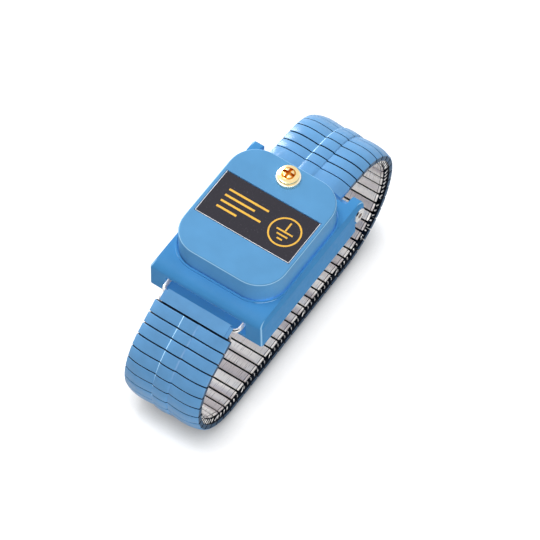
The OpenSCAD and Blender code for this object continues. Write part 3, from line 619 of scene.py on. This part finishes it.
def outer_link_mesh(link, low, high, verts, faces, picks):
    """Closed shell of one outer link, with rounded edges and ends.

    Its sides and base are dark with painted shade, its ends are teal, a darker blue that paints their shade,
    and the left flank of its ridge has a painted highlight.
    """
    arc = [radians(a) for a in (0, 30, 60, 90)]
    first = len(verts)
    rows = across_samples(link)
    count = 0
    for x in rows:
        inset = EDGE_R - (link.width / 2 - abs(x))
        drop = EDGE_R - (max(EDGE_R ** 2 - max(inset, 0) ** 2, 0)) ** 0.5
        top = outer_profile(link, x) - drop
        section = [(low[0] + drop - FLARE, 0.0)]
        for a in arc:
            n = top - EDGE_R * (1 - sin(a))
            section.append((low[0] + low[1] * n + drop + EDGE_R * (1 - cos(a)), n))
        for a in reversed(arc):
            n = top - EDGE_R * (1 - sin(a))
            section.append((high[0] + high[1] * n - drop - EDGE_R * (1 - cos(a)), n))
        section.append((high[0] - drop + FLARE, 0.0))
        count = len(section)
        verts.extend(link.place(x, u, n) for u, n in section)
    for r in range(len(rows) - 1):
        for c in range(count):
            a = first + r * count + c
            b = first + r * count + (c + 1) % count
            faces.append((a, b, b + count, a + count))
            # Sides and base take the painted shade, the ridge's left flank its painted highlight
            outside = FLANK if rows[r] == -RIDGE_FOOT else FACE
            picks.append(PAINTED_SHADE if c in (0, count - 2, count - 1) else outside)
    faces.append(tuple(first + c for c in reversed(range(count))))
    faces.append(tuple(first + (len(rows) - 1) * count + c for c in range(count)))
    picks.extend((END, END))


def tube_section(low, high, height, inset, radius):
    """Rounded outline of an inner link's tube, in (u, n)."""
    points = []
    corners = [(low, 1, pi), (high, -1, 1.5 * pi), (high, -1, 0), (low, 1, 0.5 * pi)]
    for k, (side, inward, start) in enumerate(corners):
        n = height - inset - radius if k in (2, 3) else inset + radius
        u = side[0] + side[1] * n + inward * (END_NARROWING * inset + radius)
        for a in np.linspace(start, start + pi / 2, CORNER_POINTS):
            points.append((u + radius * cos(a), n + radius * sin(a)))
    return points


def inner_link_mesh(link, low, high, verts, faces, picks):
    """One inner link with a folded facet at each end.

    It is bright only where it faces into the loop; painted shade makes it dark on its other faces, on its
    ends and on the fine line before each facet.
    """
    half = link.width / 2
    first = len(verts)
    right = [(half - END_FACET - END_LINE, 0.0), (half - END_FACET, END_LINE_DEPTH), (half, END_DEPTH)]
    rings = [(-x, inset) for x, inset in reversed(right)] + right
    for x, inset in rings:
        radius = max(TUBE_R - inset, TUBE_R_LEAST)
        section = tube_section(low, high, link.end_height, inset, radius)
        verts.extend(link.place(x, u, n) for u, n in section)
    count = 4 * CORNER_POINTS
    for r in range(len(rings) - 1):
        for c in range(count):
            a = first + r * count + c
            b = first + r * count + (c + 1) % count
            faces.append((a, b, b + count, a + count))
            # Painted shade on the fine lines and on the faces that look out of the loop
            picks.append(PAINTED_SHADE if r in (1, 3) or c >= count // 2 - 1 else FACE)
    faces.append(tuple(first + c for c in reversed(range(count))))
    faces.append(tuple(first + (len(rings) - 1) * count + c for c in range(count)))
    picks.extend((PAINTED_SHADE, PAINTED_SHADE))


def build_row(prefix, make, gap, level, end_reach, materials):
    """Shells of all links of one row, one piece for each CAD node that they replace."""
    links = read_links(prefix)
    for name in sorted({link.node for link in links}):
        verts = []
        faces = []
        picks = []
        for i, link in enumerate(links):
            if link.node == name:
                low, high = side_planes(links, i, level, gap, end_reach)
                make(link, low, high, verts, faces, picks)
        piece = add_piece(name + "_shell", verts, faces, materials, BODY_OF[name], [name], picks=picks)
        fix_normals(piece)
        split = piece.modifiers.new("split", "EDGE_SPLIT")
        split.split_angle = SPLIT_ANGLE


def fix_normals(piece):
    """Turns all faces outward."""
    mesh = bmesh.new()
    mesh.from_mesh(piece.data)
    bmesh.ops.recalc_face_normals(mesh, faces=mesh.faces)
    mesh.to_mesh(piece.data)
    mesh.free()


build_row("outer_links_", outer_link_mesh, LINK_GAP, LINK_GAP_LEVEL, END_REACH,
          [band_blue, painted_shade_steel, painted_shade_teal, ridge_flank_highlight])
build_row("inner_links_", inner_link_mesh, INNER_GAP, INNER_GAP_LEVEL, 0.0,
          [steel, painted_shade_steel])

BEVELS = {
    "case_base": 0.12 * MM, "case_cover": 0.08 * MM, "near_end_link": 0.1 * MM, "far_end_link": 0.1 * MM,
    "terminal_screw": 0.08 * MM, "terminal_collar": 0.1 * MM, "label_plate": 0.05 * MM,
    "far_hinge_pin": 0.08 * MM,
}
OWN_LOOKS = {"case_cover": cover_blue, "terminal_collar": cream}


def dress_nodes():
    """All CAD nodes that no shell replaces."""
    for name in frame["nodes"]:
        if not frame["nodes"][name].hide_render:
            look = clip_lit_and_shaded_steel if name.startswith("link_clips") else SLOT_MATERIALS[SLOT_OF[name]]
            dress_node(name, BEVELS.get(name, 0.0), OWN_LOOKS.get(name, look))


def colour_screw_recess(radius=1.8 * MM, top=0.15 * MM, bottom=1.25 * MM):
    """Painted shade: brown gold in the cross of the terminal screw."""
    low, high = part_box("terminal_screw")
    x0, y0 = (low.x + high.x) / 2, (low.y + high.y) / 2
    colour_faces("terminal_screw", screw_recess_shade, lambda p: top < high.z - p.z < bottom
                 and (p.x - x0) ** 2 + (p.y - y0) ** 2 < radius ** 2)


def colour_pin_hole(radius=0.85 * MM, depth=0.9 * MM):
    """Painted shade: grey in the hole in the hinge pin's head."""
    low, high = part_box("far_hinge_pin")
    y0, z0 = (low.y + high.y) / 2, (low.z + high.z) / 2
    colour_faces("far_hinge_pin", pin_hole_shade, lambda p: p.x > high.x - depth
                 and (p.y - y0) ** 2 + (p.z - z0) ** 2 < radius ** 2)


dress_nodes()
colour_screw_recess()
colour_pin_hole()


# Print on the label: an earth sign in a ring, and a row of lines beside it

def thin_plate(outline, z):
    """Top face and sides of a very thin print with the given (x, y) outline."""
    count = len(outline)
    verts = [(x, y, z - PRINT_T / 2) for x, y in outline] + [(x, y, z + PRINT_T) for x, y in outline]
    faces = [tuple(range(count, 2 * count))]
    faces += [(i, (i + 1) % count, count + (i + 1) % count, count + i) for i in range(count)]
    return verts, faces


def bar(x, y, w, l):
    """Outline of a rectangle round (x, y)."""
    return [(x - w / 2, y - l / 2), (x + w / 2, y - l / 2), (x + w / 2, y + l / 2), (x - w / 2, y + l / 2)]


def ring(x, y, outer, inner, steps=64):
    """Ring as a row of quads."""
    angles = np.linspace(0, 2 * pi, steps + 1)
    quads = []
    for a0, a1 in zip(angles, angles[1:]):
        corners = ((inner, a0), (outer, a0), (outer, a1), (inner, a1))
        quads.append([(x + r * cos(a), y + r * sin(a)) for r, a in corners])
    return quads


def add_plates(name, outlines, z, material):
    """Thin plates with the given outlines, joined in one piece that rides with the label."""
    verts, faces = [], []
    for outline in outlines:
        plate_verts, plate_faces = thin_plate(outline, z)
        faces += [tuple(len(verts) + i for i in face) for face in plate_faces]
        verts += plate_verts
    add_piece(name, verts, faces, [material], BODY_OF["label_plate"], smooth=False)


def add_print():
    """Gold print: the sign in its ring, and the row of lines."""
    low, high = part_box("label_plate")
    x0, y0 = (low.x + high.x) / 2, (low.y + high.y) / 2
    sign_x = x0 + SIGN_X
    outlines = ring(sign_x, y0, SIGN_R, SIGN_R - SIGN_LINE)
    outlines.append(bar(sign_x, y0 + STEM_Y, SIGN_LINE, STEM_L))
    for k, w in enumerate(BAR_WIDTHS):
        outlines.append(bar(sign_x, y0 - k * BAR_STEP, w, SIGN_LINE))
    for k, w in enumerate(ROW_LENGTHS):
        outlines.append(bar(x0 + ROWS_X + w / 2, y0 + ROWS_Y - k * ROW_STEP, w, ROW_LINE))
    add_plates("label_print", outlines, high.z, print_gold)


def add_label_edge_highlight():
    """Painted highlight: a silver line along three edges of the label."""
    low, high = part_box("label_plate")
    x0, y0 = (low.x + high.x) / 2, (low.y + high.y) / 2
    w, l, line = high.x - low.x, high.y - low.y, EDGE_HIGHLIGHT_LINE
    highlight_lines = [bar(x0, y0 - (l - line) / 2, w, line)]
    highlight_lines += [bar(x0 + s * (w - line) / 2, y0, line, l) for s in (-1, 1)]
    add_plates("label_edge_highlight_piece", highlight_lines, high.z, label_edge_highlight)


add_print()
add_label_edge_highlight()


# Stage, light and camera

def add_floor():
    """Pale floor that shows white to the camera, with a close soft shadow painted into its colour where the
    part rests.
    """
    half = FLOOR_HALF
    corners = [(-half, -half, 0), (half, -half, 0), (half, half, 0), (-half, half, 0)]
    mesh = bpy.data.meshes.new("floor")
    mesh.from_pydata(corners, [], [(0, 1, 2, 3)])
    floor = bpy.data.objects.new("floor", mesh)
    bpy.context.scene.collection.objects.link(floor)
    material, tree, shader, _ = new_material("floor_white", FLOOR_WHITE, 0.9)
    shader.inputs["Specular IOR Level"].default_value = 0.0
    # Painted shadow: the base colour and the glow darken where the part is near
    contact = tree.nodes.new("ShaderNodeAmbientOcclusion")
    contact.inputs["Distance"].default_value = SHADOW_REACH
    open_sky = math_node(tree, "POWER", contact.outputs["AO"], SHADOW_FALL)
    level = ramp(tree, open_sky, [(0.0, grey(0)), (1.0, grey(FLOOR_LEVEL))])
    tree.links.new(level, shader.inputs["Base Color"])
    path = tree.nodes.new("ShaderNodeLightPath")
    shader.inputs["Emission Color"].default_value = (1, 1, 1, 1)
    seen = math_node(tree, "MULTIPLY", path.outputs["Is Camera Ray"], open_sky)
    glow = math_node(tree, "MULTIPLY", seen, FLOOR_GLOW)
    tree.links.new(glow, shader.inputs["Emission Strength"])
    mesh.materials.append(material)


def add_area(name, toward, size, power, shadow=True):
    """Area light that looks at the middle of the part from the given direction."""
    data = bpy.data.lights.new(name, "AREA")
    data.size = size
    data.energy = power
    data.use_shadow = shadow
    light = bpy.data.objects.new(name, data)
    light.location = Vector(LIGHT_TARGET) + toward.normalized() * LIGHT_DISTANCE
    light.rotation_euler = toward.to_track_quat("Z", "Y").to_euler()
    bpy.context.scene.collection.objects.link(light)


def add_world(ambient):
    """White room: it lights the part at the ambient level, and looks white to the camera and in mirrors."""
    world = bpy.data.worlds.new("studio")
    bpy.context.scene.world = world
    world.use_nodes = True
    tree = world.node_tree
    background = tree.nodes["Background"]
    path = tree.nodes.new("ShaderNodeLightPath")
    seen = tree.nodes.new("ShaderNodeMath")
    seen.operation = "MAXIMUM"
    tree.links.new(path.outputs["Is Camera Ray"], seen.inputs[0])
    tree.links.new(path.outputs["Is Glossy Ray"], seen.inputs[1])
    level = tree.nodes.new("ShaderNodeMapRange")
    level.inputs["To Min"].default_value = ambient
    level.inputs["To Max"].default_value = 1.0
    tree.links.new(seen.outputs[0], level.inputs["Value"])
    background.inputs["Color"].default_value = (1, 1, 1, 1)
    tree.links.new(level.outputs[0], background.inputs["Strength"])


def add_camera():
    """Camera of the photograph's view."""
    a, e = CAMERA_AZIMUTH, CAMERA_ELEVATION
    back = Vector((sin(a) * cos(e), -cos(a) * cos(e), sin(e)))
    right = Vector((cos(a), sin(a), 0))
    up = back.cross(right)
    rolled_right = cos(CAMERA_ROLL) * right + sin(CAMERA_ROLL) * up
    rolled_up = cos(CAMERA_ROLL) * up - sin(CAMERA_ROLL) * right
    low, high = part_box("case_cover")
    aim = Vector(((low.x + high.x) / 2, (low.y + high.y) / 2, high.z))
    data = bpy.data.cameras.new("camera")
    data.sensor_width = SENSOR
    data.lens = LENS
    data.clip_start = 0.05
    data.clip_end = 20
    camera = bpy.data.objects.new("camera", data)
    axes = Matrix((rolled_right, rolled_up, back)).transposed()
    camera.matrix_world = axes.to_4x4()
    shift = CAMERA_SHIFT_RIGHT * rolled_right + CAMERA_SHIFT_UP * rolled_up
    camera.location = aim + shift + CAMERA_DISTANCE * back
    bpy.context.scene.collection.objects.link(camera)
    bpy.context.scene.camera = camera


def from_view(right, up, height):
    """Direction given by its parts to the right, up the picture along the floor, and up."""
    a = CAMERA_AZIMUTH
    ground_right = Vector((cos(a), sin(a), 0))
    ground_up = Vector((-sin(a), cos(a), 0))
    return right * ground_right + up * ground_up + Vector((0, 0, height))


add_floor()
add_camera()
add_area("key", from_view(-0.35, 0.3, 1.5), size=0.16, power=1.6)
add_area("side", from_view(-0.46, 0.82, 0.38), size=0.5, power=8.8, shadow=False)
add_area("front", from_view(0.4, -1.0, 0.1), size=0.6, power=2.8, shadow=False)
add_world(ambient=0.57)

bpy.context.scene.view_settings.view_transform = "Standard"
